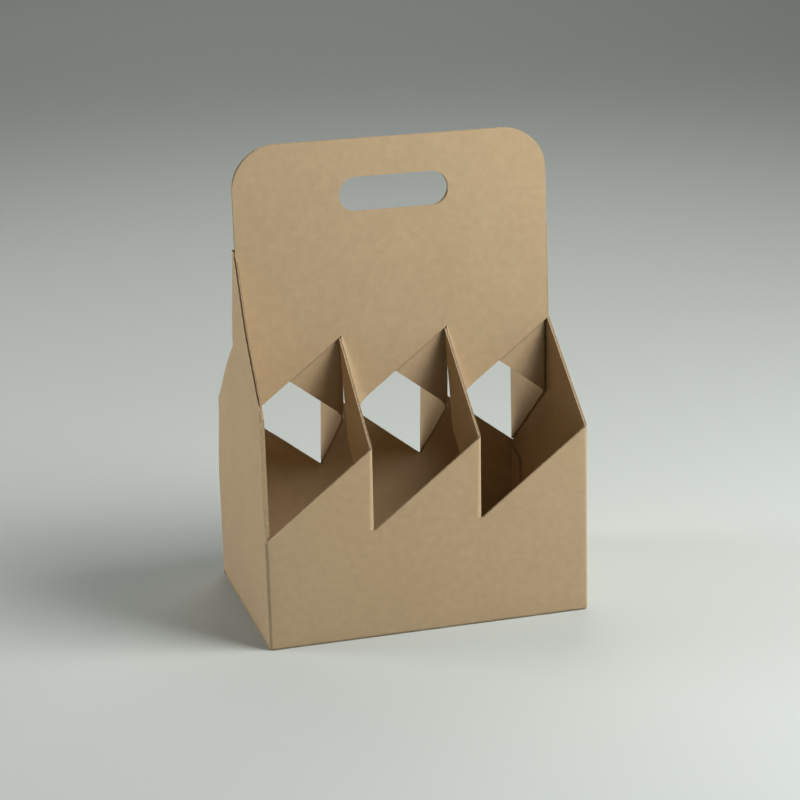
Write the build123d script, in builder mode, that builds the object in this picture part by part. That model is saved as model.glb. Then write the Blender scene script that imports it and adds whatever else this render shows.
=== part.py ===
from build123d import *
import math
import os

# Six-bottle carrier, die-cut and folded from one sheet of micro-flute kraft board.
# X runs along the length, the sawtooth front wall faces -Y, and Z is up.
# The origin is at the middle of the footprint, on the surface that the carrier stands on.
# The back half is the front half turned half a turn about Z.

# Board and folds, in millimetres
board = 1.5              # thickness of one layer of board
fold_radius = 2.2        # outside radius of a crisp fold
root_radius = 4.0        # outside radius of a divider's fold at its low end on the wall
tip_radii = [10.0, 12.0]  # outside radius of each divider's relaxed fold at the handle's low tip
fold_steps = 8           # flat facets in a quarter turn of a fold
glue_line = 0.2          # thickness of the glue between two layers
glue_margin = 5.0        # how far the glue stops inside an edge

# Cells
cell_pitch = 65.0        # a bottle of 61 mm with a little room
cell_count = 3
half_depth = 67.4        # outer face of a long wall to the middle plane
low_height = 65.8        # lowest point of the sawtooth edge
cut_angle = 37.34        # slope of every slanted cut, in degrees

# End walls
shoulder_height = 145.0  # tall half of an end wall, at its corner
peak_height = 222.6      # tall half of an end wall, at the middle plane

# Handle
top_height = 281.8
handle_corner = 26.0
front_leaf_inset = 1.8   # free edge of the front leaf to the outer face of the right end wall
back_leaf_inset = 3.9    # free edge of the back leaf to the outer face of the left end wall
slot_length = 66.2
slot_height = 20.7
slot_drop = 32.4         # middle of the hand slot below the top edge
slot_offset = 2.2        # middle of the hand slot to the right of the middle of the tray

# Bottom and glue tab
flap_clearance = 0.4     # side edge of a long bottom flap to the outer face of an end wall
seam_gap = 0.8           # gap between the two long bottom flaps
seam_reach = 20.0        # how far a long bottom flap passes the middle on its long side
seam_run = 30.0          # half the length of the slanted stretch of the seam
seam_lap = 12.0          # how far one long flap lies over the other, each side of the seam
end_flap_length = 52.0
end_flap_clearance = 1.0
end_flap_bevel = 18.0
tab_width = 15.0
tab_bevel = 5.0
tab_clearance = 2.0

# Worked out from the sizes above
slope = math.tan(math.radians(cut_angle))
length = cell_count * cell_pitch
left_face = -length / 2
right_face = length / 2
folds = [left_face + cell_pitch * index for index in range(cell_count + 1)]
dividers = [(fold_x, tip_radii[index % len(tip_radii)]) for index, fold_x in enumerate(folds[1:-1])]
inner_fold = fold_radius - board
leaf_face = -glue_line / 2
leaf_run = half_depth + leaf_face - board
apex_height = low_height + slope * (cell_pitch + leaf_run)
layer_face = left_face + board + glue_line
leaf_left = layer_face + fold_radius
slot_level = top_height - slot_drop


def run_from(fold_x, x, y):
    """Distance along the middle of the board from a wall's fold line, measured square."""
    return (x - fold_x) + (y + half_depth - board / 2)


def low_cut(fold_x, x, y):
    """Height of the slanted cut that starts at the low end of a fold."""
    return low_height + slope * max(0.0, run_from(fold_x, x, y))


def high_cut(fold_x, x, y):
    """Height of the slanted cut one cell earlier, which ends at the leaf's apex."""
    return min(apex_height, low_height + slope * (cell_pitch + run_from(fold_x, x, y)))


def gable(y):
    """Height of the steep cut on the tall half of the left end wall."""
    return shoulder_height + (peak_height - shoulder_height) * (y + half_depth) / half_depth


def turn_angles():
    """Angles turned so far at each station of a quarter turn."""
    return [math.pi / 2 * step / fold_steps for step in range(fold_steps + 1)]


def outward_turn(fold_x, radius):
    """Middle line of a fold from a long wall, heading +X, into a sheet heading +Y."""
    middle = radius - board / 2
    centre_x = fold_x - radius
    centre_y = radius - half_depth
    return [
        (centre_x + middle * math.sin(angle), centre_y - middle * math.cos(angle), angle)
        for angle in turn_angles()
    ]


def inward_turn(face_x, radius):
    """Middle line of a fold from a sheet heading +Y, with its outer face at face_x, into a leaf."""
    middle = radius - board / 2
    centre_x = face_x + radius
    centre_y = leaf_face - radius
    return [
        (centre_x - middle * math.cos(angle), centre_y + middle * math.sin(angle), math.pi / 2 - angle)
        for angle in turn_angles()
    ]


def station(low, high):
    """One upright section across the board: a plane, and the run of its top edge on that plane."""
    low_x, low_y, low_z, heading = low
    high_x, high_y, high_z, _ = high
    across = Vector(math.sin(heading), -math.cos(heading), 0)
    climb = Vector(high_x - low_x, high_y - low_y, high_z - low_z)
    lean = climb.dot(across)
    up = climb - across * lean
    plane = Plane(origin=(low_x, low_y, low_z), x_dir=across, z_dir=across.cross(up))
    return plane, lean, up.length


def bent_sheet(low_rail, high_rail):
    """A sheet of board whose lower and upper edges follow two rails of matching points."""
    with BuildPart() as sheet:
        for low, high in zip(low_rail, high_rail):
            plane, lean, rise = station(low, high)
            with BuildSketch(plane):
                with BuildLine():
                    Polyline(
                        (-board / 2, 0),
                        (board / 2, 0),
                        (board / 2 + lean, rise),
                        (-board / 2 + lean, rise),
                        close=True,
                    )
                make_face()
        loft(ruled=True)
    return sheet.part


def divider_sheet(fold_x, tip_radius):
    """A divider with both its folds, from the front wall to the front leaf of the handle."""
    low_line = outward_turn(fold_x, root_radius) + inward_turn(fold_x - board, tip_radius)
    high_line = outward_turn(fold_x, fold_radius) + inward_turn(fold_x - board, fold_radius)
    low_rail = [(x, y, low_cut(fold_x, x, y), heading) for x, y, heading in low_line]
    high_rail = [(x, y, high_cut(fold_x, x, y), heading) for x, y, heading in high_line]
    return bent_sheet(low_rail, high_rail)


def end_layer_sheet():
    """The layer glued inside the tall half of the left end wall, folded into the front leaf."""
    front_x = layer_face + board / 2
    front_y = board + glue_line - half_depth
    turn = inward_turn(layer_face, fold_radius)
    line = [(front_x, front_y, math.pi / 2)] + turn
    low_rail = [(x, y, low_cut(left_face, x, y), heading) for x, y, heading in line]
    high_rail = [(front_x, front_y, gable(front_y), math.pi / 2)]
    high_rail += [(x, y, peak_height, heading) for x, y, heading in turn]
    return bent_sheet(low_rail, high_rail)


def right_corner_sheet():
    """The fold between the front wall and the right end wall."""
    line = outward_turn(right_face, fold_radius)
    low_rail = [(x, y, fold_radius, heading) for x, y, heading in line]
    high_rail = [(x, y, high_cut(right_face, x, y), heading) for x, y, heading in line]
    return bent_sheet(low_rail, high_rail)


def leaf_outline(free_inset):
    """Outline of one leaf of the handle, seen from the front, as points in X and Z."""
    free_edge = right_face - free_inset
    points = [(leaf_left, top_height), (leaf_left, low_cut(left_face, leaf_left, leaf_face - board / 2))]
    for fold_x, tip_radius in dividers:
        tip_x = fold_x - board + tip_radius
        points += [
            (fold_x, apex_height),
            (fold_x - board + fold_radius, apex_height),
            (tip_x, low_cut(fold_x, tip_x, leaf_face - board / 2)),
        ]
    points += [
        (free_edge, low_cut(folds[-2], free_edge, leaf_face - board / 2)),
        (free_edge, top_height),
    ]
    return points


def handle_leaf(free_inset):
    with BuildPart() as leaf:
        with BuildSketch(Plane.XZ.offset(-leaf_face)) as outline:
            with BuildLine():
                Polyline(*leaf_outline(free_inset), close=True)
            make_face()
            fillet(outline.vertices().group_by(Axis.Y)[-1], handle_corner)
        extrude(amount=board)
    return leaf.part


# Front wall, with its sawtooth edge
wall_points = [(left_face + fold_radius, fold_radius), (left_face + fold_radius, low_height)]
for fold_x in folds[1:-1]:
    wall_points += [
        (fold_x - fold_radius, low_height + slope * (cell_pitch - fold_radius)),
        (fold_x - root_radius, low_height),
        (fold_x, low_height),
    ]
wall_points += [
    (right_face - fold_radius, low_height + slope * (cell_pitch - fold_radius)),
    (right_face - fold_radius, fold_radius),
]

with BuildPart() as front_wall:
    with BuildSketch(Plane.XZ.offset(half_depth - board)):
        with BuildLine():
            Polyline(*wall_points, close=True)
        make_face()
    extrude(amount=board)

# Fold between the front wall and the left end wall, below the sawtooth
with BuildPart() as left_corner:
    with BuildSketch(Plane.XY.offset(fold_radius)):
        with Locations((left_face + fold_radius, fold_radius - half_depth)):
            Circle(fold_radius)
            Circle(inner_fold, mode=Mode.SUBTRACT)
            Rectangle(fold_radius, fold_radius, align=(Align.MAX, Align.MAX), mode=Mode.INTERSECT)
    extrude(amount=low_height - fold_radius)

# Left end wall: tall in front of the middle plane, low behind it
end_foot = board + fold_radius
low_end = half_depth - fold_radius
with BuildPart() as end_wall:
    with BuildSketch(Plane.YZ.offset(left_face)):
        with BuildLine():
            Polyline(
                (fold_radius - half_depth, end_foot),
                (fold_radius - half_depth, low_height),
                (-half_depth, low_height),
                (-half_depth, shoulder_height),
                (0, peak_height),
                (0, apex_height),
                (low_end, high_cut(right_face, right_face - board / 2, -low_end)),
                (low_end, end_foot),
                close=True,
            )
        make_face()
    extrude(amount=board)

# Long bottom flap, folded in from the front wall
flap_side = right_face - flap_clearance
flap_root = fold_radius - half_depth
with BuildPart() as long_flap:
    with BuildSketch(Plane.XY):
        with BuildLine():
            Polyline(
                (-flap_side, flap_root),
                (flap_side, flap_root),
                (flap_side, -seam_reach - seam_gap / 2),
                (seam_run, -seam_reach - seam_gap / 2),
                (-seam_run, seam_reach - seam_gap / 2),
                (-flap_side, seam_reach - seam_gap / 2),
                close=True,
            )
        make_face()
    extrude(amount=board)
    with BuildSketch(Plane.YZ.offset(left_face + fold_radius)):
        with Locations((flap_root, fold_radius)):
            Circle(fold_radius)
            Circle(inner_fold, mode=Mode.SUBTRACT)
            Rectangle(fold_radius, fold_radius, align=(Align.MAX, Align.MAX), mode=Mode.INTERSECT)
    extrude(amount=length - 2 * fold_radius)

# End flap, folded in from the left end wall and lying on the long flaps
end_flap_side = half_depth - board - end_flap_clearance
end_flap_root = left_face + fold_radius
end_flap_edge = left_face + end_flap_length
with BuildPart() as end_flap:
    with BuildSketch(Plane.XY.offset(board)):
        with BuildLine():
            Polyline(
                (end_flap_root, -end_flap_side),
                (end_flap_edge - end_flap_bevel, -end_flap_side),
                (end_flap_edge, -end_flap_side + end_flap_bevel),
                (end_flap_edge, end_flap_side - end_flap_bevel),
                (end_flap_edge - end_flap_bevel, end_flap_side),
                (end_flap_root, end_flap_side),
                close=True,
            )
        make_face()
    extrude(amount=board)
    with BuildSketch(Plane.XZ.offset(-end_flap_side)):
        with Locations((end_flap_root, end_foot)):
            Circle(fold_radius)
            Circle(inner_fold, mode=Mode.SUBTRACT)
            Rectangle(fold_radius, fold_radius, align=(Align.MAX, Align.MAX), mode=Mode.INTERSECT)
    extrude(amount=2 * end_flap_side)

# Lap of the long flaps, one over the other along their seam
lap_end = -end_flap_edge - end_flap_clearance
with BuildPart() as flap_lap:
    with BuildSketch(Plane.XY.offset(board)):
        with BuildLine():
            Polyline(
                (-lap_end, seam_reach - seam_lap),
                (-seam_run, seam_reach - seam_lap),
                (seam_run, -seam_reach - seam_lap),
                (lap_end, -seam_reach - seam_lap),
                (lap_end, -seam_reach + seam_lap),
                (seam_run, -seam_reach + seam_lap),
                (-seam_run, seam_reach + seam_lap),
                (-lap_end, seam_reach + seam_lap),
                close=True,
            )
        make_face()
    extrude(amount=board)

# Glue between the left end wall and the layer inside it
glue_front = glue_margin - half_depth
glue_drop = 2 * glue_margin
with BuildPart() as end_glue:
    with BuildSketch(Plane.YZ.offset(left_face + board)):
        with BuildLine():
            Polyline(
                (glue_front, low_cut(left_face, left_face, glue_front) + glue_drop),
                (glue_front, gable(glue_front) - glue_drop),
                (-glue_margin, gable(-glue_margin) - glue_drop),
                (-glue_margin, low_cut(left_face, left_face, -glue_margin) + glue_drop),
                close=True,
            )
        make_face()
    extrude(amount=glue_line)

# Glue between the two leaves of the handle
leaf_right = right_face - (leaf_left - left_face)
with BuildPart() as leaf_glue:
    with BuildSketch(Plane.XZ.offset(-glue_line / 2)) as glue_area:
        with BuildLine():
            Polyline(
                (leaf_left + glue_margin, apex_height + glue_margin),
                (leaf_right - glue_margin, apex_height + glue_margin),
                (leaf_right - glue_margin, top_height - glue_margin),
                (leaf_left + glue_margin, top_height - glue_margin),
                close=True,
            )
        make_face()
        fillet(glue_area.vertices().group_by(Axis.Y)[-1], handle_corner - glue_margin)
        with Locations((slot_offset, slot_level)):
            SlotOverall(slot_length + 2 * glue_margin, slot_height + 2 * glue_margin, mode=Mode.SUBTRACT)
    extrude(amount=glue_line)

# Glue tab of the closing joint, inside the back right corner
with BuildPart() as glue_tab:
    with BuildSketch(Plane.YZ.offset(right_face - 2 * board)):
        with BuildLine():
            Polyline(
                (half_depth - board, 2 * board + tab_clearance),
                (half_depth - board, low_height - tab_clearance),
                (half_depth - board - tab_width, low_height - tab_clearance - tab_bevel),
                (half_depth - board - tab_width, 2 * board + tab_clearance + tab_bevel),
                close=True,
            )
        make_face()
    extrude(amount=board)

# Everything that occurs once on the front half and once on the back half
half_pieces = [
    front_wall.part,
    left_corner.part,
    right_corner_sheet(),
    end_wall.part,
    end_layer_sheet(),
    long_flap.part,
    end_flap.part,
    end_glue.part,
]
half_pieces += [divider_sheet(fold_x, tip_radius) for fold_x, tip_radius in dividers]

# The whole carrier, with the hand slot cut through both leaves
with BuildPart() as carrier:
    for piece in half_pieces:
        add(piece)
        add(piece.rotate(Axis.Z, 180))
    add(handle_leaf(front_leaf_inset))
    add(handle_leaf(back_leaf_inset).rotate(Axis.Z, 180))
    add(leaf_glue.part)
    add(flap_lap.part)
    add(glue_tab.part)
    with BuildSketch(Plane.XZ.offset(-half_depth)):
        with Locations((slot_offset, slot_level)):
            SlotOverall(slot_length, slot_height)
    extrude(amount=2 * half_depth, mode=Mode.SUBTRACT)
carrier.part.label = "carrier"

os.makedirs("parts", exist_ok=True)
export_step(carrier.part, "parts/carrier.step")
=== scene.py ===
import math

import bmesh
import bpy
from mathutils import Matrix, Vector
from mathutils.geometry import delaunay_2d_cdt


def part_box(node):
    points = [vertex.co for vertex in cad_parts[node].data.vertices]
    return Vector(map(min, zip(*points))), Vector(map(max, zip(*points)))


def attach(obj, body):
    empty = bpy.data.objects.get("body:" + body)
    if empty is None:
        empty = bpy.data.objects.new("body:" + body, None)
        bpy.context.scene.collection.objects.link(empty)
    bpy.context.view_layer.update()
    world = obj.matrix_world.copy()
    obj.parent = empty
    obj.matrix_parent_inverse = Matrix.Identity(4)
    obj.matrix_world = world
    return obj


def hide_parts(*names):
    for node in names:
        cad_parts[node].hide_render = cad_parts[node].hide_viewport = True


bl_info = {
    "name": "Bottle Carrier Box",
    "version": (1, 0, 0),
    "blender": (4, 5, 0),
    "location": "View3D > Sidebar > Carrier",
    "description": "Folded kraft board carrier with six bottle cells and a handle panel",
    "category": "Object",
}

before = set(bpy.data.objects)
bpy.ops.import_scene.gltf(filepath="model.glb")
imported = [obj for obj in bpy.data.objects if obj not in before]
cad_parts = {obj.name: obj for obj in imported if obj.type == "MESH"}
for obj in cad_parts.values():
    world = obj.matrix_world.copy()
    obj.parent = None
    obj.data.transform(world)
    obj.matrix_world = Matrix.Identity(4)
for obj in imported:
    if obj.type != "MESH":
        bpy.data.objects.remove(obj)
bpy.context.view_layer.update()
LOW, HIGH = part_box("carrier")
BODY = "root"
NODE = "carrier"


# Values that can be set in the panel


def metres(name, description, default):
    """A length."""
    return bpy.props.FloatProperty(
        name=name, description=description, default=default, min=0.0, precision=4, unit="LENGTH"
    )


def colour(name, description, default):
    """A colour, in linear light."""
    return bpy.props.FloatVectorProperty(
        name=name, description=description, default=default, subtype="COLOR", size=3, min=0.0, max=1.0
    )


def share(name, description, default):
    """A factor."""
    return bpy.props.FloatProperty(
        name=name, description=description, default=default, min=0.0, max=4.0, subtype="FACTOR"
    )


def power(name, description, default):
    """The power of a light, in watts."""
    return bpy.props.FloatProperty(name=name, description=description, default=default)


class CarrierSizes(bpy.types.PropertyGroup):
    """Sizes of the folded carrier."""

    board: metres("Board", "Thickness of one layer of board", 0.0015)
    liner: metres("Liner", "Thickness of the paper on each face of the board", 0.00022)
    medium: metres("Medium", "Thickness of the fluted paper", 0.00016)
    flute_pitch: metres("Flute pitch", "Distance from one flute to the next", 0.0034)
    flute_recess: metres("Flute recess", "How deep a cut edge shows between the liners", 0.0003)
    cell_pitch: metres("Cell pitch", "Length of one cell", (HIGH.x - LOW.x) / 3)
    half_depth: metres("Half depth", "Outer face of a long wall to the middle plane", (HIGH.y - LOW.y) / 2)
    top_height: metres("Top height", "Top edge of the handle", HIGH.z)
    low_height: metres("Low height", "Lowest point of the sawtooth edge", 0.0658)
    cut_angle: bpy.props.FloatProperty(
        name="Cut angle",
        description="Slope of every slanted cut",
        default=math.radians(37.34),
        subtype="ANGLE",
    )
    shoulder: metres("Shoulder", "Height of the tall half of an end wall at its corner", 0.145)
    peak: metres("Peak", "Height of the tall half of an end wall at the middle", 0.2226)
    fold: metres("Fold", "Outside radius of an upright fold", 0.0022)
    bottom_fold: metres("Bottom fold", "Outside radius of the folds at the bottom", 0.0016)
    root_fold: metres("Root fold", "Outside radius of a divider's fold at its low end on the wall", 0.004)
    near_tip_fold: metres("First tip fold", "Outside radius of the first divider's open fold", 0.0175)
    far_tip_fold: metres("Second tip fold", "Outside radius of the second divider's open fold", 0.0165)
    back_tip_fold: metres("Back tip fold", "Outside radius of a back divider's fold at its low tip", 0.0060)
    layer_drop: metres("Layer drop", "Top of the inner end layer below the end wall's cut", 0.0080)
    left_lean: metres("Left lean", "How far the left end wall's peak leans in", 0.0022)
    right_lean: metres("Right lean", "How far the right end wall's peak leans in", 0.0006)
    back_sway: metres("Back sway", "How far the back dividers stand over at the back wall", 0.0016)
    back_pinch: metres("Back pinch", "How far the back left corner's top is pinched in", 0.0020)
    gable_recess: metres("Gable recess", "How deep the cut edge of a tall end wall shows", 0.0011)
    glue_line: metres("Glue line", "Thickness of the glue between two layers", 0.0002)
    handle_corner: metres("Handle corner", "Radius of the handle's top corners", 0.026)
    front_inset: metres("Front inset", "Free edge of the front leaf to the end wall's outer face", 0.0018)
    back_inset: metres("Back inset", "Free edge of the back leaf to the end wall's outer face", 0.0039)
    slot_length: metres("Slot length", "Length of the hand slot", 0.0662)
    slot_height: metres("Slot height", "Height of the hand slot", 0.0207)
    slot_drop: metres("Slot drop", "Middle of the hand slot below the top edge", 0.0324)
    slot_offset: metres("Slot offset", "Middle of the hand slot right of the middle", 0.0022)
    flap_clearance: metres("Flap clearance", "Side of a long flap to the end wall's outer face", 0.0004)
    seam_gap: metres("Seam gap", "Gap between the two long flaps", 0.0008)
    seam_reach: metres("Seam reach", "How far a long flap passes the middle", 0.020)
    seam_run: metres("Seam run", "Half the length of the slanted stretch of the seam", 0.030)
    seam_lap: metres("Seam lap", "How far one long flap lies over the other", 0.012)
    end_flap_length: metres("End flap length", "How far an end flap reaches in", 0.052)
    end_flap_clearance: metres("End flap clearance", "Side of an end flap to the long wall", 0.001)
    end_flap_bevel: metres("End flap bevel", "Cut corner of an end flap", 0.018)
    tab_width: metres("Tab width", "Width of the glue tab", 0.015)
    tab_bevel: metres("Tab bevel", "Slant of the glue tab's ends", 0.005)


class CarrierFinish(bpy.types.PropertyGroup):
    """Colours and surface of the kraft board."""

    kraft: colour("Kraft", "Mean colour of the liner", (0.455, 0.335, 0.200))
    kraft_dark: colour("Dark kraft", "Colour of the darker clouds in the liner", (0.400, 0.290, 0.168))
    # Lighter colour on the folds: partly worn fibres, partly a painted highlight along the fold ridges
    kraft_wear_and_highlight: colour("Worn kraft", "Colour of a fold where the fibres open", (0.560, 0.430, 0.275))
    cut_edge: colour("Cut edge", "Colour of the board's cut edge", (0.430, 0.318, 0.192))
    roughness: share("Roughness", "Roughness of the liner", 0.82)
    grain: share("Grain", "Depth of the paper grain", 0.12)


class CarrierStage(bpy.types.PropertyGroup):
    """Floor, lights and camera."""

    floor: colour("Floor", "Colour of the floor", (0.42, 0.445, 0.42))
    backdrop: colour("Backdrop", "Colour of the room around the carrier", (0.62, 0.65, 0.62))
    backdrop_strength: share("Backdrop strength", "Brightness of the room", 0.015)
    key_power: power("Key power", "Power of the key light", 23.0)
    fill_power: power("Fill power", "Power of the fill light", 16.5)
    back_power: power("Back power", "Power of the back light", 6.0)
    distance_power: power("Distance power", "Power of the light over the far floor", 30.0)


# Shape of the carrier

QUARTER = math.pi / 2
MERGE = 2e-6           # points closer than this are one point, in metres
TINY = 1e-9            # least length that anything is divided by
TINY_SQUARE = 1e-12    # least square of a length that anything is divided by
CUT_TOLERANCE = 1e-8   # how closely the triangles of a panel keep to its outline
SLIVER = 1e-8          # area under which a triangle counts as flat, in square metres
FACE, EDGE = 0, 1      # material places on a sheet of board
SHARP_DEGREES = 35     # edges that bend more than this are sharp

FOLD_STEPS = 12        # facets in a quarter turn of a fold
CORNER_STEPS = 20      # sides in a quarter turn of a rounded cut
SEAM_ROWS = 10         # rows of faces along an upright fold
LAYER_ROWS = 20        # rows of faces along the fold of an inner end layer
CORNER_ROWS = 6        # rows of faces round the bottom of a corner
WALL_PARTS = 30        # parts along the foot of a long wall
FLAP_PARTS = 12        # parts along the fold of half an end flap
FLAT_PARTS = 8         # parts across the flat of a divider or an end layer
FLUTE_PARTS = 10       # parts in one wave of the fluted paper
EDGE_STEP = 0.006      # usual length of a side along a cut edge
GRID_STEP = 0.008      # spacing of the points inside a panel
GRID_MARGIN = 0.003    # nearest that an inside point comes to an edge

SWAY_REACH = 0.7       # cell pitches from the middle that sway in full
SWAY_FADE = 0.5        # cell pitches over which the sway dies out
PINCH_START = 0.012    # start of the pinch, short of the end wall's outer face
PINCH_EASE = 0.008     # length of long wall over which the pinch grows
PINCH_FADE = 0.05      # length of end wall over which the pinch dies out
FLAP_NOTCH = 0.001     # corner of a long flap behind the upright fold
TAB_GAP = 0.002        # ends of the glue tab to the bottom flaps and to the low cut
FLUTE_WIDTH = 0.0006   # height of fluted paper that is drawn in a deep channel
FLUTE_PEEP = 0.00004   # least depth of the fluted paper under the cut
FLUTE_SINK = 0.00003   # how far the fluted paper enters the floor of its channel

# Wear and painted highlight across a fold, greatest in its middle
FOLD_WEAR_AND_HIGHLIGHT = [math.sin(math.pi * step / FOLD_STEPS) for step in range(FOLD_STEPS + 1)]


class Plan:
    """Positions worked out from the sizes, in metres."""

    def __init__(self, sizes):
        self.sizes = s = sizes
        self.half = s.board / 2
        self.slope = math.tan(s.cut_angle)
        self.left = -1.5 * s.cell_pitch
        self.right = 1.5 * s.cell_pitch
        self.folds = [self.left + s.cell_pitch * index for index in range(4)]
        self.wall_x = self.right - self.half
        self.wall_y = self.half - s.half_depth
        self.corner_x = self.right - s.fold
        self.corner_y = s.fold - s.half_depth
        self.foot = s.board + s.bottom_fold
        self.flap_side = s.half_depth - s.board - s.end_flap_clearance
        self.fold_middle = s.fold - self.half
        self.bottom_middle = s.bottom_fold - self.half
        self.leaf_face = -s.glue_line / 2
        self.leaf_y = self.leaf_face - self.half
        self.leaf_run = s.half_depth + self.leaf_face - s.board
        self.apex = s.low_height + self.slope * (s.cell_pitch + self.leaf_run)
        self.layer_face = self.left + s.board + s.glue_line
        self.leaf_left = self.layer_face + s.fold
        self.layer_peak = s.peak - s.layer_drop
        self.slot_level = s.top_height - s.slot_drop

    def run_from(self, fold_x, x, y):
        """Distance along the board from a wall's fold line, measured square."""
        return (x - fold_x) + (y - self.wall_y)

    def low_cut(self, fold_x, x, y):
        """Height of the lower of a divider's two slanted cuts."""
        return self.sizes.low_height + self.slope * max(0.0, self.run_from(fold_x, x, y))

    def high_cut(self, fold_x, x, y):
        """Height of the upper of a divider's two slanted cuts, which is level at the leaf."""
        rise = self.slope * (self.sizes.cell_pitch + self.run_from(fold_x, x, y))
        return min(self.apex, self.sizes.low_height + rise)

    def gable(self, y):
        """Height of the cut of an end wall's tall half."""
        s = self.sizes
        return s.shoulder + (s.peak - s.shoulder) * (y + s.half_depth) / s.half_depth

    def outward_turn(self, fold_x, radius):
        """Middle line of a fold from the long wall, heading right, into a sheet heading back."""
        middle = radius - self.half
        centre = Vector((fold_x - radius, radius - self.sizes.half_depth))
        return [centre + middle * Vector((math.sin(a), -math.cos(a))) for a in quarter(FOLD_STEPS)]

    def inward_turn(self, face_x, radius):
        """Middle line of a fold from a sheet heading back into a leaf heading right."""
        middle = radius - self.half
        centre = Vector((face_x + radius, self.leaf_face - radius))
        return [centre + middle * Vector((-math.cos(a), math.sin(a))) for a in quarter(FOLD_STEPS)]


def quarter(steps):
    """Angles of a quarter turn, both ends included."""
    return [QUARTER * step / steps for step in range(steps + 1)]


def smooth(value):
    """Eases from 0 to 1."""
    value = max(0.0, min(1.0, value))
    return value * value * (3 - 2 * value)


def between(start, end, count):
    """Points from start to end, both included, in count equal parts."""
    return [start.lerp(end, index / count) for index in range(count + 1)]


def side_points(start, end, parts=0):
    """Points from start to end, without the end. With 0 parts their number suits EDGE_STEP."""
    count = parts or max(1, round((end - start).length / EDGE_STEP))
    return between(start, end, count)[:-1]


def inside(point, ring):
    """Whether a point lies inside a closed ring of points."""
    odd = False
    for a, b in zip(ring, ring[1:] + ring[:1]):
        if (a.y > point.y) != (b.y > point.y):
            odd ^= point.x < a.x + (point.y - a.y) / (b.y - a.y) * (b.x - a.x)
    return odd


def clearance(point, ring):
    """Distance from a point to the nearest side of a closed ring."""
    nearest = math.inf
    for a, b in zip(ring, ring[1:] + ring[:1]):
        side = b - a
        along = max(0.0, min(1.0, (point - a).dot(side) / max(side.length_squared, TINY_SQUARE)))
        nearest = min(nearest, (point - a - side * along).length)
    return nearest


class MiddleSheet:
    """Middle surface of folded board. Each point knows its place across the flutes and its fold weight for
    wear and painted highlight.
    """

    def __init__(self):
        self.mesh = bmesh.new()
        self.across = self.mesh.verts.layers.float.new("across")
        self.crease = self.mesh.verts.layers.float.new("crease")

    def point(self, place, across, crease=0.0):
        """Adds a point, with its place across the flutes and its fold weight for wear and painted
        highlight.
        """
        vert = self.mesh.verts.new(place)
        vert[self.across] = across
        vert[self.crease] = crease
        return vert

    def panel(self, outline, place, across, holes=()):
        """A flat panel of triangles, with points spread evenly inside it.

        The outline lists each corner with the number of parts to the next corner, or 0 for any
        number. The function place gives the place of a flat point in the carrier, and across its
        place across the flutes.
        """
        ring = []
        for (corner, parts), (following, _) in zip(outline, outline[1:] + outline[:1]):
            ring += side_points(Vector(corner), Vector(following), parts)
        rings = [ring, *holes]

        def on_board(spot):
            return inside(spot, ring) and not any(inside(spot, hole) for hole in holes)

        points, sides = [], []
        for one in rings:
            first = len(points)
            points += one
            sides += [(first + i, first + (i + 1) % len(one)) for i in range(len(one))]
        low_x, high_x = min(p.x for p in ring), max(p.x for p in ring)
        low_y, high_y = min(p.y for p in ring), max(p.y for p in ring)
        for row in range(1, int((high_y - low_y) / GRID_STEP) + 1):
            for column in range(1, int((high_x - low_x) / GRID_STEP) + 1):
                spot = Vector((low_x + column * GRID_STEP, low_y + row * GRID_STEP))
                if on_board(spot) and min(clearance(spot, one) for one in rings) > GRID_MARGIN:
                    points.append(spot)
        flat, _, faces, *_ = delaunay_2d_cdt(points, sides, [], 0, CUT_TOLERANCE)
        made = [self.point(place(p.x, p.y), across(p.x, p.y)) for p in flat]
        for face in faces:
            if on_board(sum((flat[i] for i in face), Vector((0.0, 0.0))) / len(face)):
                self.mesh.faces.new([made[i] for i in face])
        for vert in made:
            if not vert.link_faces:
                self.mesh.verts.remove(vert)
        self.turn_slivers([vert for vert in made if vert.is_valid])

    def turn_slivers(self, verts):
        """Gives points in line along a cut edge a full triangle each, in place of a flat one."""
        for face in dict.fromkeys(face for vert in verts for face in vert.link_faces):
            if not face.is_valid or face.calc_area() > SLIVER:
                continue
            longest = max(face.edges, key=lambda edge: edge.calc_length())
            if longest.is_boundary:
                self.mesh.edges.remove(longest)
            else:
                bmesh.utils.edge_rotate(longest)

    def strip(self, low_rail, high_rail, rows, across, creases):
        """Rows of faces between two rails of matching points."""
        rails = zip(low_rail, high_rail)
        columns = [between(Vector(low), Vector(high), rows) for low, high in rails]
        self.grid(columns, across, creases)

    def grid(self, columns, across, creases):
        """Faces between neighbouring columns of points. Each column has its own fold weight for wear and
        painted highlight.
        """
        made = []
        for column, crease in zip(columns, creases):
            made.append([self.point(spot, across(spot), crease) for spot in column])
        for one, other in zip(made, made[1:]):
            for row in range(len(one) - 1):
                self.mesh.faces.new((one[row], other[row], other[row + 1], one[row + 1]))

    def weld(self):
        """Joins the panels and strips where they meet, with one side out."""
        bmesh.ops.remove_doubles(self.mesh, verts=self.mesh.verts, dist=MERGE)
        bmesh.ops.recalc_face_normals(self.mesh, faces=self.mesh.faces)
        self.mesh.normal_update()
        self.mesh.verts.index_update()
        self.mesh.edges.index_update()


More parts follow.
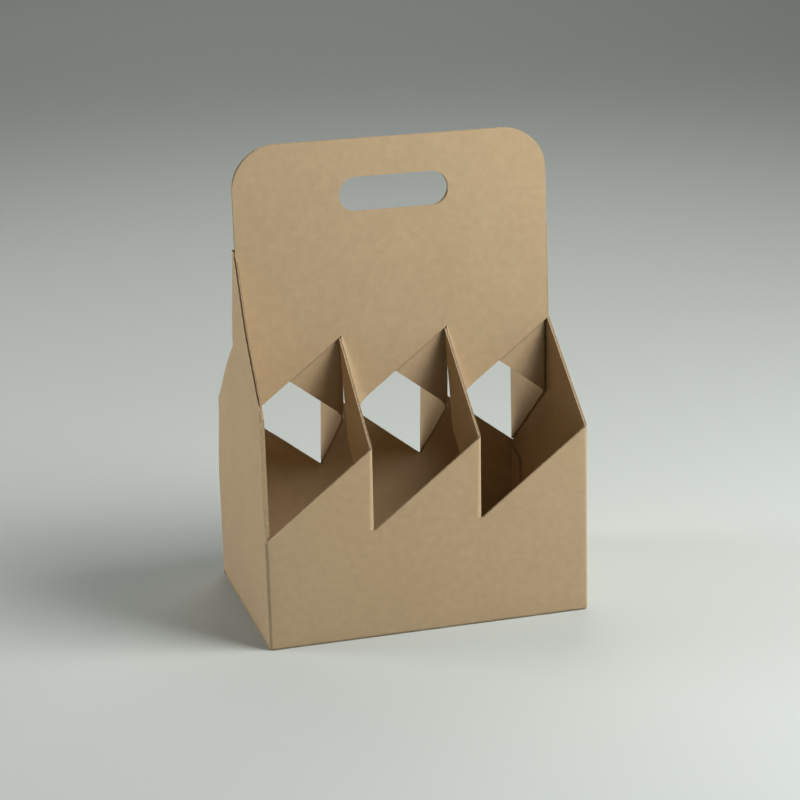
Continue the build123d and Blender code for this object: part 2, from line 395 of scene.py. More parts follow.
def add_long_wall(sheet, plan):
    """The long wall, with its sawtooth edge."""
    s = plan.sizes
    corner_x, low = plan.corner_x, s.low_height
    peak = low + plan.slope * (s.cell_pitch - s.fold)
    outline = [
        ((-corner_x, s.bottom_fold), WALL_PARTS),
        ((corner_x, s.bottom_fold), 1),
        ((corner_x, plan.foot), SEAM_ROWS),
    ]
    for fold_x in reversed(plan.folds[1:]):
        outline.append(((fold_x - s.fold, peak), 0))
        valley_x = fold_x - s.cell_pitch
        if valley_x > plan.left + MERGE:
            outline += [((valley_x, low), 1), ((valley_x - s.root_fold, low), SEAM_ROWS)]
    outline += [((-corner_x, low + plan.slope * s.fold), SEAM_ROWS), ((-corner_x, plan.foot), 1)]
    sheet.panel(outline, lambda x, z: (x, plan.wall_y, z), lambda x, z: x)


def add_corner_folds(sheet, plan):
    """The upright folds at both ends of the long wall, rounded at the bottom."""
    s = plan.sizes
    for hand in (-1, 1):
        centre = Vector((hand * plan.corner_x, plan.corner_y))
        turn = []
        for angle in quarter(FOLD_STEPS)[::-hand]:
            x = hand * (plan.corner_x + plan.fold_middle * math.cos(angle))
            turn.append(Vector((x, plan.corner_y - plan.fold_middle * math.sin(angle))))
        if hand < 0:
            rise = plan.slope * s.fold
            tops = [s.low_height + rise * step / FOLD_STEPS for step in range(FOLD_STEPS + 1)]
        else:
            tops = [plan.high_cut(plan.right, spot.x, spot.y) for spot in turn]
        columns = []
        for spot, top in zip(turn, tops):
            way = (spot - centre).normalized()
            column = []
            for angle in quarter(CORNER_ROWS)[:0:-1]:
                reach = plan.fold_middle - plan.bottom_middle * (1 - math.cos(angle))
                level = s.bottom_fold - plan.bottom_middle * math.sin(angle)
                column.append(Vector((*(centre + way * reach), level)))
            column.append(Vector((*spot, s.bottom_fold)))
            column += between(Vector((*spot, plan.foot)), Vector((*spot, top)), SEAM_ROWS)
            columns.append(column)

        def across(spot):
            run = plan.right + (spot.y + s.half_depth) - (plan.corner_x + s.fold - hand * spot.x)
            return hand * run

        sheet.grid(columns, across, FOLD_WEAR_AND_HIGHLIGHT)


def add_end_walls(sheet, plan):
    """The tall half of the left end wall and the low half of the right one."""
    s = plan.sizes
    foot, corner_y, depth = plan.foot, plan.corner_y, s.half_depth
    tall = [
        ((corner_y, foot), 1),
        ((-plan.flap_side, foot), FLAP_PARTS),
        ((0.0, foot), 0),
        ((0.0, plan.apex), 0),
        ((0.0, s.peak), 0),
        ((-depth, s.shoulder), 0),
        ((-depth, s.low_height), 1),
        ((corner_y, s.low_height), SEAM_ROWS),
    ]
    sheet.panel(tall, lambda y, z: (-plan.wall_x, y, z), lambda y, z: plan.left - y - depth)
    low = [
        ((corner_y, foot), 1),
        ((-plan.flap_side, foot), FLAP_PARTS),
        ((0.0, foot), 0),
        ((0.0, plan.apex), 1),
        ((plan.leaf_face, plan.apex), 0),
        ((corner_y, plan.high_cut(plan.right, plan.wall_x, corner_y)), SEAM_ROWS),
    ]
    sheet.panel(low, lambda y, z: (plan.wall_x, y, z), lambda y, z: plan.right + y + depth)


def add_dividers(sheet, plan, tips):
    """The two dividers, each from its fold at the long wall to its open fold at the leaf."""
    s = plan.sizes
    wear_and_highlight = FOLD_WEAR_AND_HIGHLIGHT + [0.0] * (FLAT_PARTS - 1) + FOLD_WEAR_AND_HIGHLIGHT
    for fold_x, tip in zip(plan.folds[1:3], tips):
        rails = []
        for root, end, cut in ((s.root_fold, tip, plan.low_cut), (s.fold, s.fold, plan.high_cut)):
            start = plan.outward_turn(fold_x, root)
            finish = plan.inward_turn(fold_x - s.board, end)
            line = start + between(start[-1], finish[0], FLAT_PARTS)[1:-1] + finish
            rails.append([(p.x, p.y, cut(fold_x, p.x, p.y)) for p in line])
        sheet.strip(*rails, SEAM_ROWS, lambda p: fold_x + plan.run_from(fold_x, p.x, p.y), wear_and_highlight)


def add_end_layer(sheet, plan):
    """The layer inside the tall half of the left end wall, and its fold at the leaf."""
    s = plan.sizes
    left = plan.left
    front_y = s.board + s.glue_line - s.half_depth
    turn = plan.inward_turn(plan.layer_face, s.fold)
    start = Vector((plan.layer_face + plan.half, front_y))
    line = between(start, turn[0], FLAT_PARTS)[:-1] + turn
    front_top = plan.gable(front_y) - s.layer_drop
    climb = plan.layer_peak - front_top
    low_rail = [(p.x, p.y, plan.low_cut(left, p.x, p.y)) for p in line]
    tops = [front_top + climb * min(1.0, index / FLAT_PARTS) for index in range(len(line))]
    high_rail = [(p.x, p.y, top) for p, top in zip(line, tops)]
    wear_and_highlight = [0.0] * FLAT_PARTS + FOLD_WEAR_AND_HIGHLIGHT
    sheet.strip(low_rail, high_rail, LAYER_ROWS, lambda p: left + plan.run_from(left, p.x, p.y), wear_and_highlight)


def hand_slot(plan, slot_x):
    """Points round the oblong hand slot."""
    s = plan.sizes
    radius = s.slot_height / 2
    reach = s.slot_length / 2 - radius
    corners = []
    for sign in (1, -1):
        for step in range(2 * CORNER_STEPS + 1):
            angle = sign * (math.pi * step / (2 * CORNER_STEPS) - QUARTER)
            x = slot_x + sign * reach + sign * radius * math.cos(angle)
            corners.append(Vector((x, plan.slot_level + radius * math.sin(angle))))
    ring = []
    for a, b in zip(corners, corners[1:] + corners[:1]):
        ring += side_points(a, b)
    return ring


def add_leaf(sheet, plan, free_inset, slot_x, tips):
    """The leaf of the handle, with its rounded top corners and the hand slot."""
    s = plan.sizes
    free_edge = plan.right - free_inset
    radius = s.handle_corner
    outline = []
    for centre_x, sign in ((plan.layer_face + radius, -1), (free_edge - radius, 1)):
        turn = []
        for angle in quarter(CORNER_STEPS)[::-sign]:
            height = s.top_height - radius + radius * math.sin(angle)
            turn.append((centre_x + sign * radius * math.cos(angle), height))
        outline += [(corner, 1) for corner in turn[:-1]] + [(turn[-1], 0)]
    outline.append(((free_edge, plan.low_cut(plan.folds[-2], free_edge, plan.leaf_y)), 0))
    for fold_x, tip in reversed(list(zip(plan.folds[1:3], tips))):
        tip_x = fold_x - s.board + tip
        outline += [
            ((tip_x, plan.low_cut(fold_x, tip_x, plan.leaf_y)), SEAM_ROWS),
            ((fold_x - s.board + s.fold, plan.apex), 1),
            ((fold_x, plan.apex), 0),
        ]
    outline += [
        ((plan.leaf_left, plan.low_cut(plan.left, plan.leaf_left, plan.leaf_y)), LAYER_ROWS),
        ((plan.leaf_left, plan.layer_peak), 1),
        ((plan.layer_face, plan.layer_peak + plan.half / 2), 0),
    ]
    holes = [hand_slot(plan, slot_x)]
    sheet.panel(outline, lambda x, z: (x, plan.leaf_y, z), lambda x, z: x + plan.leaf_run, holes)


def add_long_flap(sheet, plan):
    """The long bottom flap, with a slanted seam as its free edge, and its fold."""
    s = plan.sizes
    corner_x = plan.corner_x
    low_rail, high_rail = [], []
    for angle in quarter(FOLD_STEPS):
        y = plan.wall_y + plan.bottom_middle * (1 - math.cos(angle))
        z = s.bottom_fold - plan.bottom_middle * math.sin(angle)
        low_rail.append((-corner_x, y, z))
        high_rail.append((corner_x, y, z))
    sheet.strip(low_rail, high_rail, WALL_PARTS, lambda p: p.x, FOLD_WEAR_AND_HIGHLIGHT)
    side = plan.right - s.flap_clearance
    root_y = plan.wall_y + plan.bottom_middle
    side_y = plan.corner_y + FLAP_NOTCH
    near_seam = -s.seam_reach - s.seam_gap / 2
    far_seam = s.seam_reach - s.seam_gap / 2
    outline = [
        ((-side, side_y), 1),
        ((-corner_x, root_y), WALL_PARTS),
        ((corner_x, root_y), 1),
        ((side, side_y), 0),
        ((side, near_seam), 0),
        ((s.seam_run, near_seam), 0),
        ((-s.seam_run, far_seam), 0),
        ((-side, far_seam), 0),
    ]
    sheet.panel(outline, lambda x, y: (x, y, plan.half), lambda x, y: x)


def add_end_flaps(sheet, plan):
    """The front parts of the two end flaps, and their folds."""
    s = plan.sizes
    side = plan.flap_side
    tip = plan.right - s.end_flap_length
    hinge = plan.wall_x - plan.bottom_middle
    for hand in (-1, 1):
        low_rail, high_rail = [], []
        for angle in quarter(FOLD_STEPS):
            x = hand * (plan.wall_x - plan.bottom_middle * (1 - math.cos(angle)))
            z = plan.foot - plan.bottom_middle * math.sin(angle)
            low_rail.append((x, -side, z))
            high_rail.append((x, 0.0, z))
        sheet.strip(low_rail, high_rail, FLAP_PARTS, lambda p: p.y, FOLD_WEAR_AND_HIGHLIGHT)
        outline = [
            ((hand * hinge, -side), FLAP_PARTS),
            ((hand * hinge, 0.0), 0),
            ((hand * tip, 0.0), 0),
            ((hand * tip, s.end_flap_bevel - side), 0),
            ((hand * (tip + s.end_flap_bevel), -side), 0),
        ]
        sheet.panel(outline, lambda x, y: (x, y, s.board + plan.half), lambda x, y: y)


def relax(sheet, plan, lean, sway, pinch):
    """Moves the board a little from its flat planes, as a folded carrier stands.

    The peak of the left end wall leans in and draws the end of the leaf along with it. The dividers
    sway at the long wall. The top of the right end wall's front corner is pinched in.
    """
    s = plan.sizes
    corner_top = s.low_height + plan.slope * s.cell_pitch
    for vert in sheet.mesh.verts:
        spot = vert.co
        deep = smooth((spot.y + s.half_depth) / s.half_depth)
        rise = smooth((spot.z - plan.apex) / (s.peak - plan.apex))
        inner = 1.0 - smooth((spot.x - plan.leaf_left) / s.cell_pitch)
        climb = smooth((spot.z - s.low_height) / (corner_top - s.low_height))
        past_reach = abs(spot.x) - s.cell_pitch * SWAY_REACH
        central = 1.0 - smooth(past_reach / (s.cell_pitch * SWAY_FADE))
        at_end = smooth((spot.x - plan.right + PINCH_START) / PINCH_EASE)
        at_corner = at_end * (1.0 - smooth((spot.y + s.half_depth) / PINCH_FADE))
        spot.x += lean * rise * inner * deep
        spot.x += sway * climb * central * (1.0 - deep)
        spot.x -= pinch * climb * at_corner


def build_half(plan, free_inset, slot_x, tips, ease):
    """The front half as one sheet: walls, dividers, end layer, handle leaf and bottom flaps.

    Another inset of the leaf's free edge, place of the slot, pair of tip folds and ease (lean, sway
    and pinch) give the back half, before it is turned half a turn.
    """
    sheet = MiddleSheet()
    add_long_wall(sheet, plan)
    add_corner_folds(sheet, plan)
    add_end_walls(sheet, plan)
    add_dividers(sheet, plan, tips)
    add_end_layer(sheet, plan)
    add_leaf(sheet, plan, free_inset, slot_x, tips)
    add_long_flap(sheet, plan)
    add_end_flaps(sheet, plan)
    sheet.weld()
    relax(sheet, plan, *ease)
    sheet.mesh.normal_update()
    return sheet


def edge_order(edge):
    """Ends of a cut edge, in the order in which its face runs."""
    loop = edge.link_loops[0]
    return loop.vert, loop.link_loop_next.vert


def meets_other_half(edge, plan):
    """Whether an edge lies where the front and back halves of an end wall meet."""
    return all(abs(vert.co.y) < MERGE and vert.co.z < plan.apex + MERGE for vert in edge.verts)


def rim_depths(sheet, plan):
    """For each edge point of a sheet, the way into the board and how deep the flutes lie.

    A cut that runs along the flutes has no channel. Nor has a point where more than two cut edges
    meet, or where a cut turns sharply.
    """
    s = plan.sizes
    inward = {}
    for edge in sheet.mesh.edges:
        if not edge.is_boundary:
            continue
        a, b = edge_order(edge)
        way = (a.normal + b.normal).cross(b.co - a.co).normalized()
        flutes_passed = abs(a[sheet.across] - b[sheet.across])
        crossing = min(1.0, flutes_passed / max(edge.calc_length(), TINY))
        if meets_other_half(edge, plan):
            crossing = 0.0
        for vert in (a, b):
            inward.setdefault(vert, []).append((way, crossing))
    depths = {}
    for vert, sides in inward.items():
        total = sum((way for way, _ in sides), Vector())
        size = total.length
        opening = smooth(min(crossing for _, crossing in sides) * 2)
        if size < 1.0 or len(sides) != 2:
            opening = 0.0
        on_gable = vert[sheet.across] < LOW.x - MERGE and vert.co.z > s.shoulder
        recess = s.gable_recess if on_gable else s.flute_recess
        depths[vert] = (total / max(size, TINY), recess * opening * 2 / max(size, 1.0))
    return depths


def thicken(sheet, name, plan):
    """Turns a middle sheet into board: two liners, with a channel for the flutes at each cut edge."""
    half = plan.half
    lip = half - plan.sizes.liner
    board = bmesh.new()
    crease = board.verts.layers.float.new("crease")
    sides = []
    for sign in (1, -1):
        made = {}
        for vert in sheet.mesh.verts:
            made[vert] = board.verts.new(vert.co + vert.normal * half * sign)
            made[vert][crease] = vert[sheet.crease]
        sides.append(made)
        for face in sheet.mesh.faces:
            corners = [made[vert] for vert in face.verts]
            board.faces.new(corners if sign > 0 else corners[::-1]).material_index = FACE
    profile = {}
    for vert, (way, depth) in rim_depths(sheet, plan).items():
        ring = [sides[0][vert]]
        for offset, sunk in ((lip, 0.0), (lip, depth), (-lip, depth), (-lip, 0.0)):
            ring.append(board.verts.new(vert.co + vert.normal * offset + way * sunk))
        profile[vert] = ring + [sides[1][vert]]
    for edge in sheet.mesh.edges:
        if not edge.is_boundary:
            continue
        one, other = (profile[vert] for vert in edge_order(edge))
        for index in range(len(one) - 1):
            corners = [one[index], one[index + 1], other[index + 1], other[index]]
            board.faces.new(corners).material_index = EDGE
    bmesh.ops.remove_doubles(board, verts=board.verts, dist=MERGE)
    bmesh.ops.dissolve_degenerate(board, edges=board.edges, dist=MERGE)
    bmesh.ops.recalc_face_normals(board, faces=board.faces)
    return make_object(board, name)


class Flutes:
    """The fluted paper that shows between the liners at the cut edges."""

    def __init__(self, plan):
        self.plan = plan
        self.mesh = bmesh.new()
        self.swing = plan.half - plan.sizes.liner - plan.sizes.medium / 2

    def follow(self, sheet):
        """Adds the fluted paper along every open cut edge of a sheet."""
        depths = rim_depths(sheet, self.plan)
        for edge in sheet.mesh.edges:
            if edge.is_boundary:
                a, b = edge_order(edge)
                if depths[a][1] > 0 or depths[b][1] > 0:
                    self.along(sheet, a, b, depths)

    def along(self, sheet, a, b, depths):
        """Adds the fluted paper along one cut edge."""
        s = self.plan.sizes
        start, end = a[sheet.across], b[sheet.across]
        parts = max(1, math.ceil(abs(end - start) / (s.flute_pitch / FLUTE_PARTS)))
        rings = []
        for index in range(parts + 1):
            part = index / parts
            spot = a.co.lerp(b.co, part)
            normal = a.normal.lerp(b.normal, part).normalized()
            way = depths[a][0].lerp(depths[b][0], part).normalized()
            depth = depths[a][1] + (depths[b][1] - depths[a][1]) * part
            wave = self.swing * math.sin(math.tau * (start + (end - start) * part) / s.flute_pitch)
            top = max(FLUTE_PEEP, depth - FLUTE_WIDTH)
            sole = depth + FLUTE_SINK
            ring = []
            for side, sunk in ((1, top), (-1, top), (-1, sole), (1, sole)):
                offset = wave + side * s.medium / 2
                ring.append(self.mesh.verts.new(spot + normal * offset + way * sunk))
            rings.append(ring)
        for one, other in zip(rings, rings[1:]):
            for index, corner in enumerate(one):
                following = (index + 1) % len(one)
                self.mesh.faces.new((corner, one[following], other[following], other[index]))
        self.mesh.faces.new(rings[0])
        self.mesh.faces.new(rings[-1][::-1])

    def finish(self, name):
        """The fluted paper as one object."""
        bmesh.ops.recalc_face_normals(self.mesh, faces=self.mesh.faces)
        return make_object(self.mesh, name)


def make_object(mesh, name):
    """An object of the scene, smooth but for its sharp edges."""
    data = bpy.data.meshes.new(name)
    mesh.to_mesh(data)
    mesh.free()
    data.shade_smooth()
    data.set_sharp_from_angle(angle=math.radians(SHARP_DEGREES))
    made = bpy.data.objects.new(name, data)
    bpy.context.scene.collection.objects.link(made)
    return made


def settle(piece, materials):
    """Puts a piece on the carrier's body, in place of the solid, with its finish."""
    for material in materials:
        piece.data.materials.append(material)
    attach(piece, BODY)
    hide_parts(NODE)


# Finish of the board

# Sizes of the grain: a larger number is a finer grain
CLOUD_SCALE = 210.0
DRIFT_SCALE = 22.0
WEAR_AND_HIGHLIGHT_SCALE = 320.0
FUZZ_SCALE = 900.0
SPECK_SCALE = 950.0
STREAK_STRETCH = (60.0, 60.0, 1100.0)
FIBRE_STRETCH = (700.0, 700.0, 2600.0)

WEAR_AND_HIGHLIGHT_DEPTH = 0.15         # how far a fold goes to its lighter colour, partly wear and partly painted highlight
SPECK_DEPTH = 0.35        # how far a speck goes to its dark colour
SPECK_SHADE = 0.62        # colour of a speck, as a part of the dark kraft
FUZZ_SHADE = 0.7          # darkest part of the cut edge, as a part of its colour
GRAIN_HEIGHT = 0.0006     # height of the liner's grain, in metres
FUZZ_HEIGHT = 0.0003      # height of the cut edge's fuzz, in metres
ROUGHNESS_SPREAD = 0.12   # change of roughness from cloud to cloud


class Term:
    """A shader socket that takes part in Python arithmetic. Each operation adds its Math node."""

    def __init__(self, recipe, socket):
        self.recipe = recipe
        self.socket = socket

    def maths(self, operation, *values):
        """The result of one operation on the values."""
        made = self.recipe.node("ShaderNodeMath", {"operation": operation}, dict(enumerate(values)))
        return self.recipe.term(made)

    def __add__(self, other):
        return self.maths("ADD", self, other)

    __radd__ = __add__

    def __mul__(self, other):
        return self.maths("MULTIPLY", self, other)

    __rmul__ = __mul__

    def __sub__(self, other):
        return self.maths("SUBTRACT", self, other)

    def __rsub__(self, other):
        return self.maths("SUBTRACT", other, self)


class Recipe:
    """One material, built node by node."""

    def __init__(self, name):
        self.material = bpy.data.materials.new(name)
        self.material.use_nodes = True
        self.tree = self.material.node_tree
        self.tree.nodes.clear()

    def node(self, kind, settings=None, inputs=None):
        """Adds one node. Its settings are set first, then the values or links of its sockets."""
        made = self.tree.nodes.new(kind)
        for key, value in (settings or {}).items():
            if key == "stops":
                ramp = made.color_ramp.elements
                for element, (place, tone) in zip(ramp, value):
                    element.position = place
                    element.color = (tone, tone, tone, 1.0)
            else:
                setattr(made, key, value)
        for key, value in (inputs or {}).items():
            if isinstance(value, Term):
                self.tree.links.new(value.socket, made.inputs[key])
            else:
                made.inputs[key].default_value = value
        return made

    def term(self, made, output=0):
        """One output of a node."""
        return Term(self, made.outputs[output])

    def place(self):
        """Place on the carrier."""
        return self.term(self.node("ShaderNodeTexCoord"), "Object")

    def mix(self, amount, one, other):
        """Colours one and other mixed by amount."""
        inputs = {0: amount, 6: one, 7: other}
        return self.term(self.node("ShaderNodeMix", {"data_type": "RGBA"}, inputs), 2)

    def stretched(self, place, scale):
        """A place stretched along the three axes."""
        inputs = {0: place, 1: scale}
        return self.term(self.node("ShaderNodeVectorMath", {"operation": "MULTIPLY"}, inputs))

    def noise(self, place, scale=1.0, detail=2.0, roughness=0.5):
        """Soft noise from 0 to 1."""
        inputs = {"Vector": place, "Scale": scale, "Detail": detail, "Roughness": roughness}
        return self.term(self.node("ShaderNodeTexNoise", {}, inputs), "Fac")

    def ramp(self, value, low, high):
        """Rises from 0 at low to 1 at high."""
        settings = {"stops": [(low, 0.0), (high, 1.0)]}
        return self.term(self.node("ShaderNodeValToRGB", settings, {"Fac": value}))

    def attribute(self, name):
        """A value that the points of the mesh carry."""
        return self.term(self.node("ShaderNodeAttribute", {"attribute_name": name}), "Fac")

    def bump(self, strength, distance, height):
        """Relief of a surface."""
        inputs = {"Strength": strength, "Distance": distance, "Height": height}
        return self.term(self.node("ShaderNodeBump", {}, inputs))

    def surface(self, inputs):
        """Ends the recipe with a principled surface and gives the material."""
        surface = self.term(self.node("ShaderNodeBsdfPrincipled", {}, inputs))
        self.node("ShaderNodeOutputMaterial", {}, {"Surface": surface})
        return self.material


def opaque(tone):
    """A colour with full alpha."""
    return (*tone, 1.0)


def shaded(tone, factor):
    """A colour made darker by a factor."""
    return tuple(factor * part for part in tone)


def kraft_material(finish):
    """Unbleached kraft liner: soft clouds, fine fibres, faint level streaks, and folds made lighter partly
    by wear and partly by painted highlight.
    """
    recipe = Recipe("kraft_liner")
    place = recipe.place()
    clouds = recipe.noise(place, CLOUD_SCALE, 3.0, 0.55)
    drift = recipe.noise(place, DRIFT_SCALE)
    streaks = recipe.noise(recipe.stretched(place, STREAK_STRETCH))
    fibres = recipe.noise(recipe.stretched(place, FIBRE_STRETCH), roughness=0.6)
    specks = recipe.ramp(recipe.noise(place, SPECK_SCALE), 0.69, 0.74)
    shade = clouds * 0.5 + drift * 0.2 + streaks * 0.15 + fibres * 0.15
    mixed = recipe.mix(recipe.ramp(shade, 0.34, 0.66), opaque(finish.kraft_dark), opaque(finish.kraft))
    # Painted highlight: the folds are lightened towards the worn colour, partly as real wear and partly as
    # the highlight along their ridges
    patches = recipe.ramp(recipe.noise(place, WEAR_AND_HIGHLIGHT_SCALE, 3.0, 0.6), 0.3, 0.7)
    wear_and_highlight = recipe.attribute("crease") * patches * WEAR_AND_HIGHLIGHT_DEPTH
    worn_and_highlit = recipe.mix(wear_and_highlight, mixed, opaque(finish.kraft_wear_and_highlight))
    speckled = recipe.mix(specks * SPECK_DEPTH, worn_and_highlit, opaque(shaded(finish.kraft_dark, SPECK_SHADE)))
    height = clouds * 0.35 + fibres * 0.4 + streaks * 0.25
    return recipe.surface({
        "Base Color": speckled,
        "Roughness": finish.roughness + (clouds - 0.5) * ROUGHNESS_SPREAD,
        "Normal": recipe.bump(finish.grain, GRAIN_HEIGHT, height),
        "Specular IOR Level": 0.22,
    })


def edge_material(finish):
    """Cut edge of the board: fuzzy paper."""
    recipe = Recipe("cut_board_edge")
    fuzz = recipe.noise(recipe.place(), FUZZ_SCALE, 3.0, 0.6)
    dark = shaded(finish.cut_edge, FUZZ_SHADE)
    return recipe.surface({
        "Base Color": recipe.mix(recipe.ramp(fuzz, 0.35, 0.65), opaque(dark), opaque(finish.cut_edge)),
        "Roughness": 0.9,
        "Normal": recipe.bump(0.3, FUZZ_HEIGHT, fuzz),
        "Specular IOR Level": 0.15,
    })


def floor_material(stage):
    """Pale matt floor."""
    return Recipe("pale_floor").surface({
        "Base Color": opaque(stage.floor),
        "Roughness": 0.9,
        "Specular IOR Level": 0.1,
    })


def board_materials():
    """The liner and the cut edge, made when they are first asked for."""
    finish = bpy.context.scene.carrier_finish
    made = []
    for name, build in (("kraft_liner", kraft_material), ("cut_board_edge", edge_material)):
        made.append(bpy.data.materials.get(name) or build(finish))
    return made


def half_sheets(plan):
    """Names and middle sheets of the front half and of the back half, which is turned half a turn."""
    s = plan.sizes
    front_tips = (s.near_tip_fold, s.far_tip_fold)
    back_tips = (s.back_tip_fold, s.back_tip_fold)
    front = build_half(plan, s.front_inset, s.slot_offset, front_tips, (s.left_lean, 0.0, 0.0))
    back_ease = (s.right_lean, -s.back_sway, s.back_pinch)
    back = build_half(plan, s.back_inset, -s.slot_offset, back_tips, back_ease)
    half_turn = Matrix.Rotation(math.pi, 3, "Z")
    bmesh.ops.rotate(back.mesh, cent=(0, 0, 0), matrix=half_turn, verts=back.mesh.verts)
    back.mesh.normal_update()
    return [("front_half", front), ("back_half", back)]


def inner_sheets(plan):
    """Names and middle sheets of the lap of the long flaps and of the glue tab of the closing joint."""
    s = plan.sizes
    second_layer = 1.5 * s.board
    lap_sheet = MiddleSheet()
    end = plan.right - s.end_flap_length - s.end_flap_clearance
    reach, lap, run = s.seam_reach, s.seam_lap, s.seam_run
    outline = [
        ((-end, reach - lap), 0),
        ((-run, reach - lap), 0),
        ((run, -reach - lap), 0),
        ((end, -reach - lap), 0),
        ((end, lap - reach), 0),
        ((run, lap - reach), 0),
        ((-run, lap + reach), 0),
        ((-end, lap + reach), 0),
    ]
    lap_sheet.panel(outline, lambda x, y: (x, y, second_layer), lambda x, y: x)
    lap_sheet.weld()
    tab_sheet = MiddleSheet()
    wall = s.half_depth - s.board
    free = wall - s.tab_width
    bottom = 2 * s.board + TAB_GAP
    top = s.low_height - TAB_GAP
    outline = [
        ((wall, bottom), 0),
        ((wall, top), 0),
        ((free, top - s.tab_bevel), 0),
        ((free, bottom + s.tab_bevel), 0),
    ]
    tab_sheet.panel(outline, lambda y, z: (plan.right - second_layer, y, z), lambda y, z: y)
    tab_sheet.weld()
    return [("bottom_lap", lap_sheet), ("glue_tab", tab_sheet)]


def make_boards(plan, sheets):
    """Makes a piece of board from each middle sheet and settles it on the carrier."""
    for name, sheet in sheets:
        settle(thicken(sheet, name, plan), board_materials())
        sheet.mesh.free()


class CARRIER_OT_halves(bpy.types.Operator):
    """Fold the front and back halves of the carrier from board"""

    bl_idname = "carrier.halves"
    bl_label = "Fold Walls, Dividers And Handle"

    def execute(self, context):
        plan = Plan(context.scene.carrier_sizes)
        make_boards(plan, half_sheets(plan))
        return {"FINISHED"}


class CARRIER_OT_inner_boards(bpy.types.Operator):
    """Lay the lap of the long bottom flaps and the glue tab inside the carrier"""

    bl_idname = "carrier.inner_boards"
    bl_label = "Lay Bottom Lap And Glue Tab"

    def execute(self, context):
        plan = Plan(context.scene.carrier_sizes)
        make_boards(plan, inner_sheets(plan))
        return {"FINISHED"}


class CARRIER_OT_flutes(bpy.types.Operator):
    """Set the fluted paper between the liners at the cut edges"""

    bl_idname = "carrier.flutes"
    bl_label = "Set Flutes In Cut Edges"

    def execute(self, context):
        plan = Plan(context.scene.carrier_sizes)
        flutes = Flutes(plan)
        for _, sheet in half_sheets(plan) + inner_sheets(plan):
            flutes.follow(sheet)
            sheet.mesh.free()
        settle(flutes.finish("flutes"), board_materials()[1:])
        return {"FINISHED"}


# Floor, light and camera

FLOOR_REACH = 6.0      # edge of the floor from the middle of the carrier

# Each light's name, place, aim, width and height
LIGHTS = (
    ("key", (0.66, -0.52, 0.92), (0.0, 0.0, 0.14), 0.7, 0.7),
    ("fill", (-1.45, 0.55, 0.55), (0.0, 0.0, 0.14), 0.6, 0.6),
    ("back", (0.35, 1.0, 1.2), (0.15, 0.7, 0.0), 0.8, 0.8),
    ("distance", (0.6, 3.3, 2.2), (0.6, 3.3, 0.0), 3.0, 2.4),
)

SENSOR_WIDTH = 36.0    # in millimetres, as is the focal length
FOCAL_LENGTH = 100.36
CLIP_START = 0.05
CAMERA_PLACE = Matrix((
    (0.96232, 0.10132, -0.25234, -0.33509),
    (-0.27056, 0.26424, -0.92573, -1.23940),
    (-0.02711, 0.95912, 0.28170, 0.49906),
    (0.0, 0.0, 0.0, 1.0),
))


def set_floor(scene):
    """A wide level floor under the carrier."""
    reach = FLOOR_REACH
    corners = [(-reach, -reach, 0), (reach, -reach, 0), (reach, reach, 0), (-reach, reach, 0)]
    data = bpy.data.meshes.new("floor")
    data.from_pydata(corners, [], [(0, 1, 2, 3)])
    floor = bpy.data.objects.new("floor", data)
    scene.collection.objects.link(floor)
    data.materials.append(floor_material(scene.carrier_stage))


def set_room(scene):
    """The dim room around the carrier."""
    world = bpy.data.worlds.new("studio")
    world.use_nodes = True
    background = world.node_tree.nodes["Background"]
    background.inputs["Color"].default_value = opaque(scene.carrier_stage.backdrop)
    background.inputs["Strength"].default_value = scene.carrier_stage.backdrop_strength
    scene.world = world
    scene.view_settings.view_transform = "Standard"


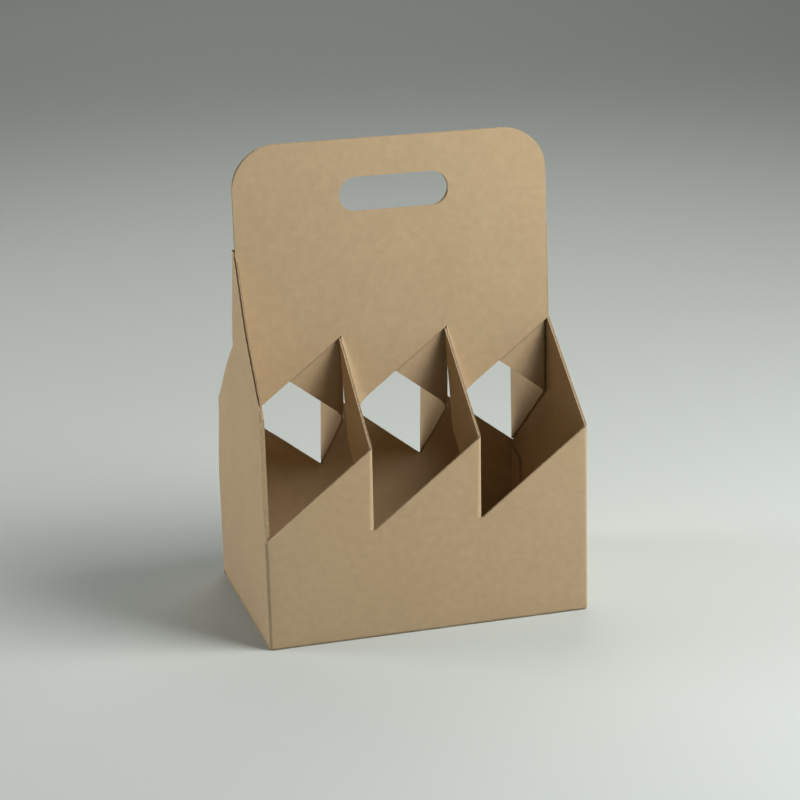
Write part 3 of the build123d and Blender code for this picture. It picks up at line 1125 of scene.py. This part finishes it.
def set_lights(scene):
    """Soft lights, each aimed at a place on the carrier or the floor."""
    for name, place, aim, width, height in LIGHTS:
        light = bpy.data.lights.new(name, "AREA")
        light.shape = "RECTANGLE"
        light.size = width
        light.size_y = height
        light.energy = getattr(scene.carrier_stage, f"{name}_power")
        lamp = bpy.data.objects.new(name, light)
        lamp.location = place
        lamp.rotation_euler = (Vector(aim) - Vector(place)).to_track_quat("-Z", "Y").to_euler()
        scene.collection.objects.link(lamp)


def set_camera(scene):
    """The camera, in front and a little to the left of the carrier."""
    lens = bpy.data.cameras.new("camera")
    lens.sensor_width = SENSOR_WIDTH
    lens.lens = FOCAL_LENGTH
    lens.clip_start = CLIP_START
    camera = bpy.data.objects.new("camera", lens)
    camera.matrix_world = CAMERA_PLACE
    scene.collection.objects.link(camera)
    scene.camera = camera


class CARRIER_OT_stage(bpy.types.Operator):
    """Set the floor, the soft studio light and the camera"""

    bl_idname = "carrier.stage"
    bl_label = "Set The Stage"

    def execute(self, context):
        set_floor(context.scene)
        set_room(context.scene)
        set_lights(context.scene)
        set_camera(context.scene)
        return {"FINISHED"}


# Panel and start


class CARRIER_PT_panel(bpy.types.Panel):
    """Sizes, finish and stage of the carrier"""

    bl_label = "Bottle Carrier Box"
    bl_idname = "CARRIER_PT_panel"
    bl_space_type = "VIEW_3D"
    bl_region_type = "UI"
    bl_category = "Carrier"

    def draw(self, context):
        for group in GROUPS:
            box = self.layout.box()
            values = getattr(context.scene, group)
            for name in values.__annotations__:
                box.prop(values, name)
        for operator in OPERATORS:
            self.layout.operator(operator.bl_idname)


GROUPS = {
    "carrier_sizes": CarrierSizes,
    "carrier_finish": CarrierFinish,
    "carrier_stage": CarrierStage,
}
OPERATORS = (CARRIER_OT_halves, CARRIER_OT_inner_boards, CARRIER_OT_flutes, CARRIER_OT_stage)
CLASSES = (*GROUPS.values(), *OPERATORS, CARRIER_PT_panel)


def register():
    for one in CLASSES:
        bpy.utils.register_class(one)
    for name, group in GROUPS.items():
        setattr(bpy.types.Scene, name, bpy.props.PointerProperty(type=group))


def unregister():
    for name in GROUPS:
        delattr(bpy.types.Scene, name)
    for one in reversed(CLASSES):
        bpy.utils.unregister_class(one)


def main():
    """Builds the carrier and its stage."""
    register()
    bpy.ops.carrier.halves()
    bpy.ops.carrier.inner_boards()
    bpy.ops.carrier.flutes()
    bpy.ops.carrier.stage()
    bpy.context.view_layer.update()


if __name__ == "__main__":
    main()
